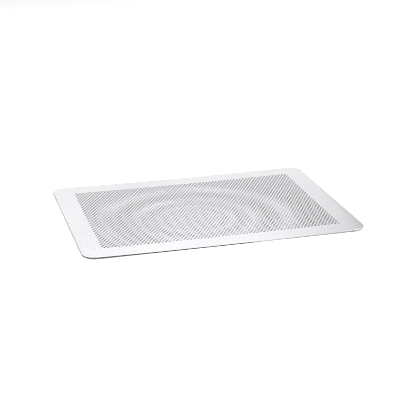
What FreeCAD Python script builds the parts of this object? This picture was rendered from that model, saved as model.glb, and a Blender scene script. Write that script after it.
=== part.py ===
"""Flat perforated baking tray: one sheet of aluminium with a plain border and a field of round holes.

Frame: X runs along the long side, Y along the short side and +Z is up. The origin is at the
centre of the underside, so the tray stands on the plane Z = 0.
"""
import FreeCAD, Part
import os
from math import sqrt

# Driving dimensions, in millimetres.
LENGTH = 400.0
WIDTH = 300.0
THICKNESS = 1.5
CORNER_RADIUS = 19.0
EDGE_ROUND = 0.4  # the blanked edge is rubbed smooth, so no side is sharp

HOLE_DIAMETER = 3.0
HOLE_PITCH = 5.0  # between the centres of neighbouring holes, in equal triangles
HOLES_IN_ROW = 68
HOLE_ROWS = 55

# Worked out from them.
ROW_SPACING = HOLE_PITCH * sqrt(3) / 2
STAGGER = HOLE_PITCH / 4  # each row is moved this far sideways, right and left by turns
FIELD_LENGTH = HOLES_IN_ROW * HOLE_PITCH + 2 * STAGGER
FIELD_WIDTH = HOLE_ROWS * ROW_SPACING

PUNCH_OVERRUN = 1.0  # how far each punch runs past both faces
UPRIGHT = 0.99  # an edge whose direction has at least this much Z in it stands up


def slab(length, width, centre_y=0.0):
    """A rectangular piece of the sheet, centred on X = 0 and on the given Y."""
    corner = FreeCAD.Vector(-length / 2, centre_y - width / 2, 0)
    return Part.makeBox(length, width, THICKNESS, corner)


def stands_up(edge):
    return abs(edge.tangentAt(edge.FirstParameter).z) > UPRIGHT


def border():
    """The plain rim of the sheet: the blank with rounded corners and edges, less the field of holes."""
    blank = slab(LENGTH, WIDTH)
    blank = blank.makeFillet(CORNER_RADIUS, [edge for edge in blank.Edges if stands_up(edge)])
    blank = blank.makeFillet(EDGE_ROUND, [edge for edge in blank.Edges if not stands_up(edge)])
    return blank.cut(slab(FIELD_LENGTH, FIELD_WIDTH))


def hole_row(row):
    """One strip of the field, with its row of round holes."""
    middle = STAGGER if row % 2 == 0 else -STAGGER
    y = (row - (HOLE_ROWS - 1) / 2) * ROW_SPACING
    punches = []
    for hole in range(HOLES_IN_ROW):
        x = middle + (hole - (HOLES_IN_ROW - 1) / 2) * HOLE_PITCH
        foot = FreeCAD.Vector(x, y, -PUNCH_OVERRUN)
        punches.append(Part.makeCylinder(HOLE_DIAMETER / 2, THICKNESS + 2 * PUNCH_OVERRUN, foot))
    return slab(FIELD_LENGTH, ROW_SPACING, y).cut(Part.Compound(punches))


# The border and the strips fuse into one solid. Its flat faces stay divided along the strips, so
# that no face has thousands of holes in it.
sheet = border().multiFuse([hole_row(row) for row in range(HOLE_ROWS)])
perforated_sheet = sheet.Solids[0]
print("solids", len(sheet.Solids), "faces", len(perforated_sheet.Faces))
print("volume", round(perforated_sheet.Volume, 1), "valid", perforated_sheet.isValid())

os.makedirs("parts", exist_ok=True)
perforated_sheet.exportStep("parts/perforated_sheet.step")
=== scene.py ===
"""Looks of a flat perforated baking tray: one thin aluminium sheet on a white table, in soft studio light."""
from math import cos, e, log, pi, radians, sin, sqrt, tan

import bpy
from mathutils import Matrix, Vector
from mathutils.geometry import delaunay_2d_cdt


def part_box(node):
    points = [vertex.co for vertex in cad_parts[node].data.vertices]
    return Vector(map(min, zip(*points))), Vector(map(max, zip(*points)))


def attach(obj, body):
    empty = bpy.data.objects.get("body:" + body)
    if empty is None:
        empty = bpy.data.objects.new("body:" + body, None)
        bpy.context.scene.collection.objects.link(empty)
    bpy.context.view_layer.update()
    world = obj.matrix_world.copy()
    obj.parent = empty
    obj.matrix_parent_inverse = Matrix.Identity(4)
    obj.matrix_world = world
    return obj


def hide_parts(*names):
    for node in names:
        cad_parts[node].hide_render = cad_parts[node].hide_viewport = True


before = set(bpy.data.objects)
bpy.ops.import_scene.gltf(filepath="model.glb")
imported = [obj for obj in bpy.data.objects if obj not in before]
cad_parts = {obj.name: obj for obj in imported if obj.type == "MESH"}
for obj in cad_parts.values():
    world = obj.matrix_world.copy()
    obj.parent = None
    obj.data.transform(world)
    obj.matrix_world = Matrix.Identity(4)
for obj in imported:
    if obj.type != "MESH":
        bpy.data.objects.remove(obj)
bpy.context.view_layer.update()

# The sheet, in metres.
LOW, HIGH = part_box("perforated_sheet")
HALF_LENGTH = (HIGH[0] - LOW[0]) / 2
HALF_WIDTH = (HIGH[1] - LOW[1]) / 2
THICKNESS = HIGH[2] - LOW[2]
CORNER_RADIUS = 0.019
EDGE_ROUND = 0.0004
HOLE_RADIUS = 0.0015
HOLE_PITCH = 0.005
HOLES_IN_ROW = 68
HOLE_ROWS = 55
ROW_SPACING = HOLE_PITCH * sqrt(3) / 2
FIELD_HALF_LENGTH = (HOLES_IN_ROW + 0.5) * HOLE_PITCH / 2
FIELD_HALF_WIDTH = HOLE_ROWS * ROW_SPACING / 2
END_LIFT = 0.0016  # the sheet isn't quite flat: its short ends stand this much off the table

# How finely it is meshed.
HOLE_SIDES = 12
RING_RADIUS = HOLE_RADIUS * sqrt(2 * pi / HOLE_SIDES / sin(2 * pi / HOLE_SIDES))  # keeps the hole's area
CORNER_STEPS = 8
BORDER_STEP = 0.01
BORDER_LOOPS = (0.35, 0.7)  # how far out over the border its two loops of points lie
EDGE_STEPS = 3
EDGE_HOLD = 0.0004  # a flat strip round the faces, so that the edge's rounding doesn't shade into them
SHARP_ANGLE = radians(40)
SAME_POINT = 1e-7
ONLY_INSIDE = 1  # asks the triangulation for triangles inside the loops only

# Colours of the metal: its faces and their scratches, the painted shade at the right end, and its walls,
# which are mixed with black for painted shade.
FACE_DARK = (0.874, 0.869, 0.898, 1)
FACE_LIGHT = (0.912, 0.906, 0.934, 1)
SCRATCH_COLOUR = (0.78, 0.775, 0.8, 1)
RIGHT_END_SHADE_COLOUR = (0.6, 0.6, 0.62, 1)
WALL_PAINTED_SHADE = (0, 0, 0, 1)
WALL_LIGHT = (0.98, 0.97, 1, 1)

# Its roughness.
FACE_ROUGHNESS = (0.24, 0.28)
GRAIN_ROUGHNESS = (-0.02, 0.02)  # what the grain adds to it
WALL_ROUGHNESS = (0.5, 0.65)

# Walls stand up and faces lie flat: the upward share of the normal in each.
WALL_UP, FACE_UP = 0.5, 0.85

# The share of the light colour in the walls; the rest is black, painted shade.
WALLS_NEAR, WALLS_FAR = 0.48, 0.32  # painted shade in the holes, lighter near the rings' centre and darker far from it
NEAR, FAR = 0.05, 0.2
EDGE_PAINTED_SHADE, EDGE_PAINTED_REFLECTION = 0.06, 0.48  # painted shade in the outer edge, lightened to the right as a painted reflection
# where along X the edge's painted shade gives way to the painted reflection
EDGE_CHANGE = (0.02, 0.05)
SHEAR_LEVEL = (0.85, 1.15)  # what its streaks multiply it by

# Painted light and painted shade in rings in the hole walls, which grow fainter towards their centre and far
# from it.
RING_CENTRE = (-0.02, -0.04, 0)
FIRST_RING = 0.053
RING_RATIO = 0.46  # the step from each light ring's radius to the next, in natural logarithms
RING_STRENGTH = 0.23
RING_FAINT = 0.3
RING_RISE = (0.5, 2)  # both in radii of the first ring
RING_FALL = (2.6, 3.4)
RING_PATCHES = 12
PATCH_STRENGTH = (0.3, 1.5)

# Painted shade darkens the right end. It goes by X less a little of Y, so it is strongest in front.
RIGHT_END_SHADE_BEGINS, RIGHT_END_SHADE_FULL = 0.19, 0.215
RIGHT_END_SHADE_LEAN = 0.1
RIGHT_END_SHADE_SHARE = 0.6

# Noise scales per metre, and how much each is squeezed along X, Y and Z.
NOISE_LOW, NOISE_HIGH = 0.3, 0.7  # the usual range of a noise
CLOUD_SCALE = 6
GRAIN_SCALE = 60
GRAIN_STRETCH = (1, 60, 1)  # the rolling grain runs along X
SCRATCH_SCALE = 25
SCRATCH_STRETCH = (1, 90, 1)
SCRATCH_TURN = radians(37)
SCRATCH_PEAKS = (0.68, 0.74)  # only the noise's peaks are scratches
SCRATCH_SHARE = 0.25
SCRATCH_DEPTH = 0.6  # as a share of the grain's
SHEAR_SCALE = 800
SHEAR_STRETCH = (3, 3, 1)  # sheared walls are streaked from face to face
BUMP_STRENGTH = 0.05
BUMP_DISTANCE = 0.00005

TABLE_SIZE = 12
TABLE_DARK = (0.86, 0.86, 0.86, 1)
TABLE_LIGHT = (0.88, 0.88, 0.88, 1)
TABLE_ROUGHNESS = (0.6, 0.7)
MOTTLE_SCALE = 3
FLOOR_GAP = 0.0001  # the table's surface lies a hair below the sheet

WORLD_LEVEL = 0.62
CARD_DISTANCE = 3
CARD_LOW, CARD_HIGH = 5, 40  # the elevations each card spans, in degrees
CARDS = (  # name, azimuths it spans in degrees, and level
    ("card_a", -40, 0, 0.24),
    ("card_b", 0, 12, 0.24),
    ("card_c", 12, 20, 0.26),
    ("card_d", 20, 25, 0.26),
)
SOFTBOXES = (  # name, place, size and power
    ("high_back", (0, 1.3, 1.3), (1.2, 0.7), 4.4),
    ("left", (-1.6, 0.1, 1.6), (1.2, 1.2), 25),
    ("right", (1.6, -0.1, 1.6), (1.2, 1.2), 35),
    ("front", (-0.1, -1.6, 1.6), (1.2, 1.2), 25),
)

# The camera, at the photo's viewing angle.
SENSOR_WIDTH = 36
LENS = 101.41
YAW, PITCH, ROLL = radians(14.96), radians(19.51), radians(-0.573)
TRAY_SEEN = Vector((-0.0092, -0.0009, 1.722))  # its top face's middle: right, up and forward of the camera


def lift(point):
    """How far the sheet stands off the table at a point: it rests on its middle and curls up at its ends."""
    return END_LIFT * (point.x / HALF_LENGTH) ** 2


def add_rings(points):
    """Put a ring of points round each hole, and return the number of each ring's first point.

    The holes are named (row, place), with the place counted in half pitches along the row.
    """
    first = {}
    for row in range(HOLE_ROWS):
        start = 1 - HOLES_IN_ROW - row % 2
        for place in range(start, start + 2 * HOLES_IN_ROW, 2):
            x, y = (place + 0.5) * HOLE_PITCH / 2, (row - (HOLE_ROWS - 1) / 2) * ROW_SPACING
            first[row, place] = len(points)
            for side in range(HOLE_SIDES):
                angle = 2 * pi * side / HOLE_SIDES
                points.append(Vector((x, y)) + RING_RADIUS * Vector((cos(angle), sin(angle))))
    return first


def fill_between(first, faces):
    """The metal between each three neighbouring holes: a triangle in the middle and a quad to each side."""
    sixth = HOLE_SIDES // 6
    for row, place in first:
        right, up_right, up_left = (row, place + 2), (row + 1, place + 1), (row + 1, place - 1)
        for others, turn in (((right, up_right), 0), ((up_right, up_left), 1)):
            if not all(hole in first for hole in others):
                continue
            corners = []
            for number, hole in enumerate(((row, place), *others)):
                start = (turn + 2 * number) * sixth
                corners.append([first[hole] + (start + step) % HOLE_SIDES for step in range(sixth + 1)])
            middle = [corner[sixth // 2] for corner in corners]
            faces.append(middle)
            for corner, after in zip(corners, corners[1:] + corners[:1]):
                faces.append([corner[1], corner[0], after[2], after[1]])


def field_edge(first, faces):
    """The loop round the whole field of holes, through the points that the faces between holes leave open."""
    used = {(a, b) for face in faces for a, b in zip(face, face[1:] + face[:1])}
    following = {}
    for start in first.values():
        for side in range(HOLE_SIDES):
            arc = (start + (side + 1) % HOLE_SIDES, start + side)
            if arc not in used:
                following[arc[0]] = arc[1]
    for a, b in used:
        if (b, a) not in used and (a // HOLE_SIDES) != (b // HOLE_SIDES):
            following[b] = a
    loop = [next(iter(following))]
    while following[loop[-1]] != loop[0]:
        loop.append(following[loop[-1]])
    return loop


def rounded_outline(inset):
    """Points anticlockwise round the sheet's outline, moved inwards by inset."""
    radius = CORNER_RADIUS - inset
    straights = (HALF_LENGTH - CORNER_RADIUS, HALF_WIDTH - CORNER_RADIUS)
    points = []
    for quarter in range(4):
        turned = Matrix.Rotation(quarter * pi / 2, 2)
        along, across = (straights if quarter % 2 == 0 else straights[::-1])
        for step in range(CORNER_STEPS):
            angle = step / CORNER_STEPS * pi / 2
            points.append(turned @ Vector((along + radius * cos(angle), across + radius * sin(angle))))
        count = round(2 * along / BORDER_STEP)
        for step in range(count):
            points.append(turned @ Vector((along - 2 * along * step / count, across + radius)))
    return points


def border_points():
    """Points on rectangles round the field, which let the plain border follow the sheet's curve."""
    points = []
    for share in BORDER_LOOPS:
        half_x = FIELD_HALF_LENGTH + share * (HALF_LENGTH - FIELD_HALF_LENGTH)
        half_y = FIELD_HALF_WIDTH + share * (HALF_WIDTH - FIELD_HALF_WIDTH)
        for half, other, swap in ((half_x, half_y, False), (half_y, half_x, True)):
            count = round(2 * half / BORDER_STEP)
            for step in range(count):
                along = half - 2 * half * step / count
                for sign in (1, -1):
                    point = Vector((sign * along, sign * other))
                    points.append(Vector((-point.y, point.x)) if swap else point)
    return points


def fill_border(points, faces, rim, edge):
    """Triangles between the rim and the field of holes, which are inside the first loop only."""
    inner = border_points()
    numbers = rim + edge
    places = [points[n] for n in numbers] + inner
    numbers += range(len(points), len(points) + len(inner))
    points += inner
    around = list(range(len(rim)))
    field = list(range(len(rim), len(rim) + len(edge)))[::-1]
    _, _, triangles, origins, _, owners = delaunay_2d_cdt(
        places, [], [around, field], ONLY_INSIDE, SAME_POINT)
    for triangle, owner in zip(triangles, owners):
        if len(owner) == 1:
            faces.append([numbers[origins[corner][0]] for corner in triangle])


def edge_profile():
    """(inset, height) of each loop down the rounded outer edge, between the top face and the underside."""
    quarter = [(step / EDGE_STEPS * pi / 2) for step in range(EDGE_STEPS + 1)]
    upper = [(EDGE_ROUND * (1 - sin(a)), THICKNESS - EDGE_ROUND * (1 - cos(a))) for a in quarter]
    return upper + [(inset, THICKNESS - height) for inset, height in reversed(upper)]


def band(above, below):
    """Quads between two loops of points, facing outwards."""
    return [[above[n - 1], below[n - 1], below[n], above[n]] for n in range(len(above))]


def make_sheet():
    """One closed mesh: two faces with the holes cut out of them, the hole walls and the outer edge."""
    points, faces = [], []
    first = add_rings(points)
    fill_between(first, faces)
    edge = field_edge(first, faces)
    outline = rounded_outline(EDGE_ROUND + EDGE_HOLD)
    rim = list(range(len(points), len(points) + len(outline)))
    points += outline
    fill_border(points, faces, rim, edge)

    count = len(points)
    verts = [(p.x, p.y, THICKNESS + lift(p)) for p in points]
    verts += [(p.x, p.y, lift(p)) for p in points]
    walls = [[count + corner for corner in reversed(face)] for face in faces]
    for start in first.values():
        for side in range(HOLE_SIDES):
            a, b = start + side, start + (side + 1) % HOLE_SIDES
            walls.append([a, b, count + b, count + a])
    above = rim
    for inset, height in edge_profile():
        below = list(range(len(verts), len(verts) + len(rim)))
        verts += [(p.x, p.y, height + lift(p)) for p in rounded_outline(inset)]
        walls += band(above, below)
        above = below
    walls += band(above, [count + corner for corner in rim])

    mesh = bpy.data.meshes.new("perforated_sheet_look")
    mesh.from_pydata(verts, [], faces + walls)
    mesh.shade_smooth()
    mesh.set_sharp_from_angle(angle=SHARP_ANGLE)
    sheet = bpy.data.objects.new("sheet", mesh)
    bpy.context.scene.collection.objects.link(sheet)
    return sheet


class Painter:
    """Puts procedural nodes on one material."""

    def __init__(self, name):
        self.material = bpy.data.materials.new(name)
        self.material.use_nodes = True
        self.shader = self.material.node_tree.nodes["Principled BSDF"]

    def node(self, kind):
        return self.material.node_tree.nodes.new(kind)

    def join(self, source, socket):
        """Feed a socket from another socket, or set it to a plain value."""
        if isinstance(source, bpy.types.NodeSocket):
            self.material.node_tree.links.new(source, socket)
        else:
            socket.default_value = source

    def maths(self, operation, a, b=0.0):
        node = self.node("ShaderNodeMath")
        node.operation = operation
        self.join(a, node.inputs[0])
        self.join(b, node.inputs[1])
        return node.outputs[0]

    def axis(self, vector, name):
        node = self.node("ShaderNodeSeparateXYZ")
        self.join(vector, node.inputs[0])
        return node.outputs[name]

    def stretched(self, place, scale, turn=0.0):
        """Coordinates turned about Z and scaled along each axis."""
        node = self.node("ShaderNodeMapping")
        self.join(place, node.inputs["Vector"])
        node.inputs["Rotation"].default_value = (0, 0, turn)
        node.inputs["Scale"].default_value = scale
        return node.outputs[0]

    def distance(self, place, point):
        node = self.node("ShaderNodeVectorMath")
        node.operation = "DISTANCE"
        self.join(place, node.inputs[0])
        self.join(point, node.inputs[1])
        return node.outputs["Value"]

    def noise(self, place, scale, detail):
        node = self.node("ShaderNodeTexNoise")
        self.join(place, node.inputs["Vector"])
        node.inputs["Scale"].default_value = scale
        node.inputs["Detail"].default_value = detail
        return node.outputs["Fac"]

    def ramp(self, value, low, high, at_low, at_high):
        """A smooth step of the value, from one level to another."""
        node = self.node("ShaderNodeMapRange")
        node.interpolation_type = "SMOOTHSTEP"
        for number, setting in enumerate((value, low, high, at_low, at_high)):
            self.join(setting, node.inputs[number])
        return node.outputs[0]

    def span(self, noise, low, high):
        """Spread the usual range of a noise over two values."""
        return self.ramp(noise, NOISE_LOW, NOISE_HIGH, low, high)

    def mix(self, share, first, second):
        node = self.node("ShaderNodeMix")
        node.data_type = "RGBA"
        self.join(share, node.inputs["Factor"])
        self.join(first, node.inputs["A"])
        self.join(second, node.inputs["B"])
        return node.outputs["Result"]

    def blend(self, share, first, second):
        """Go from one number to another by the share."""
        node = self.node("ShaderNodeMix")
        self.join(share, node.inputs["Factor"])
        self.join(first, node.inputs["A"])
        self.join(second, node.inputs["B"])
        return node.outputs["Result"]


def painted_wall_light_and_shade(paint, place):
    """The share of the light colour in a wall, the rest being painted shade: rings of painted light and shade
    in the holes, and one step along the outer edge from deep painted shade to a painted reflection.
    """
    flat = paint.stretched(place, (1, 1, 0))
    # Rings of painted light and painted shade round a centre.
    distance = paint.distance(flat, RING_CENTRE)
    turns = paint.maths("MULTIPLY", paint.maths("LOGARITHM", distance, e), 2 * pi / RING_RATIO)
    wave = paint.maths("COSINE", paint.maths("SUBTRACT", turns, 2 * pi * log(FIRST_RING) / RING_RATIO))
    patches = paint.span(paint.noise(flat, RING_PATCHES, detail=0), *PATCH_STRENGTH)
    rise_from, rise_to, fall_from, fall_to = (FIRST_RING * radii for radii in RING_RISE + RING_FALL)
    rise = paint.ramp(distance, rise_from, rise_to, RING_FAINT * RING_STRENGTH, RING_STRENGTH)
    fall = paint.ramp(distance, fall_from, fall_to, 1, RING_FAINT)
    strength = paint.maths("MULTIPLY", paint.maths("MULTIPLY", rise, fall), patches)
    # Painted shade in the holes, lighter near the rings' centre.
    base = paint.ramp(distance, NEAR, FAR, WALLS_NEAR, WALLS_FAR)
    rings = paint.maths("ADD", base, paint.maths("MULTIPLY", wave, strength))
    inside = paint.maths("MULTIPLY", *(
        paint.ramp(paint.maths("ABSOLUTE", paint.axis(place, name)), half, half + HOLE_PITCH, 1, 0)
        for name, half in (("X", FIELD_HALF_LENGTH), ("Y", FIELD_HALF_WIDTH))))
    # Painted shade along the outer edge, lightened to the right by a painted reflection.
    edge = paint.ramp(paint.axis(place, "X"), *EDGE_CHANGE, EDGE_PAINTED_SHADE, EDGE_PAINTED_REFLECTION)
    return paint.blend(inside, edge, rings)


def aluminium():
    """Rolled aluminium: bright faces with a fine grain and a painted shade at the right end, and rougher
    sheared walls, which carry painted shade and rings of painted light and shade.
    """
    paint = Painter("satin_aluminium")
    place = paint.node("ShaderNodeTexCoord").outputs["Object"]
    normal = paint.node("ShaderNodeNewGeometry").outputs["Normal"]
    level = paint.maths("ABSOLUTE", paint.axis(normal, "Z"))
    wall = paint.ramp(level, WALL_UP, FACE_UP, 1, 0)

    clouds = paint.noise(place, CLOUD_SCALE, detail=3)
    grain = paint.noise(paint.stretched(place, GRAIN_STRETCH), GRAIN_SCALE, detail=2)
    lines = paint.noise(paint.stretched(place, SCRATCH_STRETCH, SCRATCH_TURN), SCRATCH_SCALE, detail=1)
    scratches = paint.ramp(lines, *SCRATCH_PEAKS, 0, 1)
    shear = paint.noise(paint.stretched(place, SHEAR_STRETCH), SHEAR_SCALE, detail=2)

    face_colour = paint.mix(clouds, FACE_DARK, FACE_LIGHT)
    scratch_share = paint.maths("MULTIPLY", scratches, SCRATCH_SHARE)
    face_colour = paint.mix(scratch_share, face_colour, SCRATCH_COLOUR)
    # Painted shade at the right end of the faces.
    across = paint.maths("MULTIPLY", paint.axis(place, "Y"), RIGHT_END_SHADE_LEAN)
    along = paint.maths("SUBTRACT", paint.axis(place, "X"), across)
    right_end_shade = paint.ramp(along, RIGHT_END_SHADE_BEGINS, RIGHT_END_SHADE_FULL, 0, RIGHT_END_SHADE_SHARE)
    face_colour = paint.mix(right_end_shade, face_colour, RIGHT_END_SHADE_COLOUR)
    # The walls' colour: black mixed in for painted shade, with the painted rings and edge, streaked by the
    # shearing.
    walls = paint.maths("MULTIPLY", painted_wall_light_and_shade(paint, place), paint.span(shear, *SHEAR_LEVEL))
    wall_colour_and_shade = paint.mix(walls, WALL_PAINTED_SHADE, WALL_LIGHT)
    face_rough = paint.maths(
        "ADD", paint.span(clouds, *FACE_ROUGHNESS), paint.span(grain, *GRAIN_ROUGHNESS))
    wall_rough = paint.span(shear, *WALL_ROUGHNESS)

    height = paint.maths("ADD", grain, paint.maths("MULTIPLY", scratches, -SCRATCH_DEPTH))
    height = paint.blend(wall, height, shear)
    bump = paint.node("ShaderNodeBump")
    bump.inputs["Strength"].default_value = BUMP_STRENGTH
    bump.inputs["Distance"].default_value = BUMP_DISTANCE
    paint.join(height, bump.inputs["Height"])

    paint.join(paint.mix(wall, face_colour, wall_colour_and_shade), paint.shader.inputs["Base Color"])
    paint.join(paint.blend(wall, face_rough, wall_rough), paint.shader.inputs["Roughness"])
    paint.join(bump.outputs["Normal"], paint.shader.inputs["Normal"])
    paint.shader.inputs["Metallic"].default_value = 1
    return paint.material


def table():
    """The plain pale floor, a matt white top with a faint mottle."""
    bpy.ops.mesh.primitive_plane_add(size=TABLE_SIZE, location=(0, 0, -FLOOR_GAP))
    floor = bpy.context.object
    floor.name = "table"
    paint = Painter("white_table")
    place = paint.node("ShaderNodeTexCoord").outputs["Object"]
    mottle = paint.noise(place, MOTTLE_SCALE, detail=3)
    paint.join(paint.mix(mottle, TABLE_DARK, TABLE_LIGHT), paint.shader.inputs["Base Color"])
    paint.join(paint.span(mottle, *TABLE_ROUGHNESS), paint.shader.inputs["Roughness"])
    floor.data.materials.append(paint.material)


def softbox(name, place, size, power):
    """A soft rectangular light, turned towards the tray."""
    data = bpy.data.lights.new(name, "AREA")
    data.shape = "RECTANGLE"
    data.size, data.size_y = size
    data.energy = power
    light = bpy.data.objects.new(name, data)
    light.location = place
    light.rotation_euler = (Vector() - Vector(place)).to_track_quat("-Z", "Y").to_euler()
    bpy.context.scene.collection.objects.link(light)


def card(name, left, right, level):
    """A soft card behind the tray, for the sheet to mirror, from one azimuth to another."""
    azimuth, elevation = radians((left + right) / 2), radians((CARD_LOW + CARD_HIGH) / 2)
    spans = (right - left, CARD_HIGH - CARD_LOW)
    size = [2 * CARD_DISTANCE * tan(radians(span) / 2) for span in spans]
    outwards = Vector((sin(azimuth) * cos(elevation), cos(azimuth) * cos(elevation), sin(elevation)))
    softbox(name, CARD_DISTANCE * outwards, size, level * pi * size[0] * size[1])


def surroundings():
    """A pale studio all round, which lights the tray softly from every side."""
    world = bpy.data.worlds.new("studio")
    bpy.context.scene.world = world
    world.use_nodes = True
    background = world.node_tree.nodes["Background"]
    background.inputs["Color"].default_value = (1, 1, 1, 1)
    background.inputs["Strength"].default_value = WORLD_LEVEL


def camera():
    """The camera, turned by its yaw, pitch and roll and set back from the tray."""
    data = bpy.data.cameras.new("camera")
    data.sensor_width = SENSOR_WIDTH
    data.lens = LENS
    view = bpy.data.objects.new("camera", data)
    forward = Vector((sin(YAW) * cos(PITCH), cos(YAW) * cos(PITCH), -sin(PITCH)))
    right = Vector((cos(YAW), -sin(YAW), 0))
    up = right.cross(forward)
    right, up = cos(ROLL) * right + sin(ROLL) * up, -sin(ROLL) * right + cos(ROLL) * up
    axes = Matrix((right, up, -forward)).transposed()
    back = -(TRAY_SEEN.x * right + TRAY_SEEN.y * up + TRAY_SEEN.z * forward)
    place = back + Vector((0, 0, THICKNESS))
    view.matrix_world = Matrix.Translation(place) @ axes.to_4x4()
    bpy.context.scene.collection.objects.link(view)
    bpy.context.scene.camera = view


sheet = make_sheet()
sheet.data.materials.append(aluminium())
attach(sheet, "root")
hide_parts("perforated_sheet")
table()
surroundings()
for settings in CARDS:
    card(*settings)
for settings in SOFTBOXES:
    softbox(*settings)
camera()
bpy.context.scene.view_settings.view_transform = "Standard"
bpy.context.scene.cycles.pixel_filter_type = "BOX"  # crisp, so the rows of holes stay apart
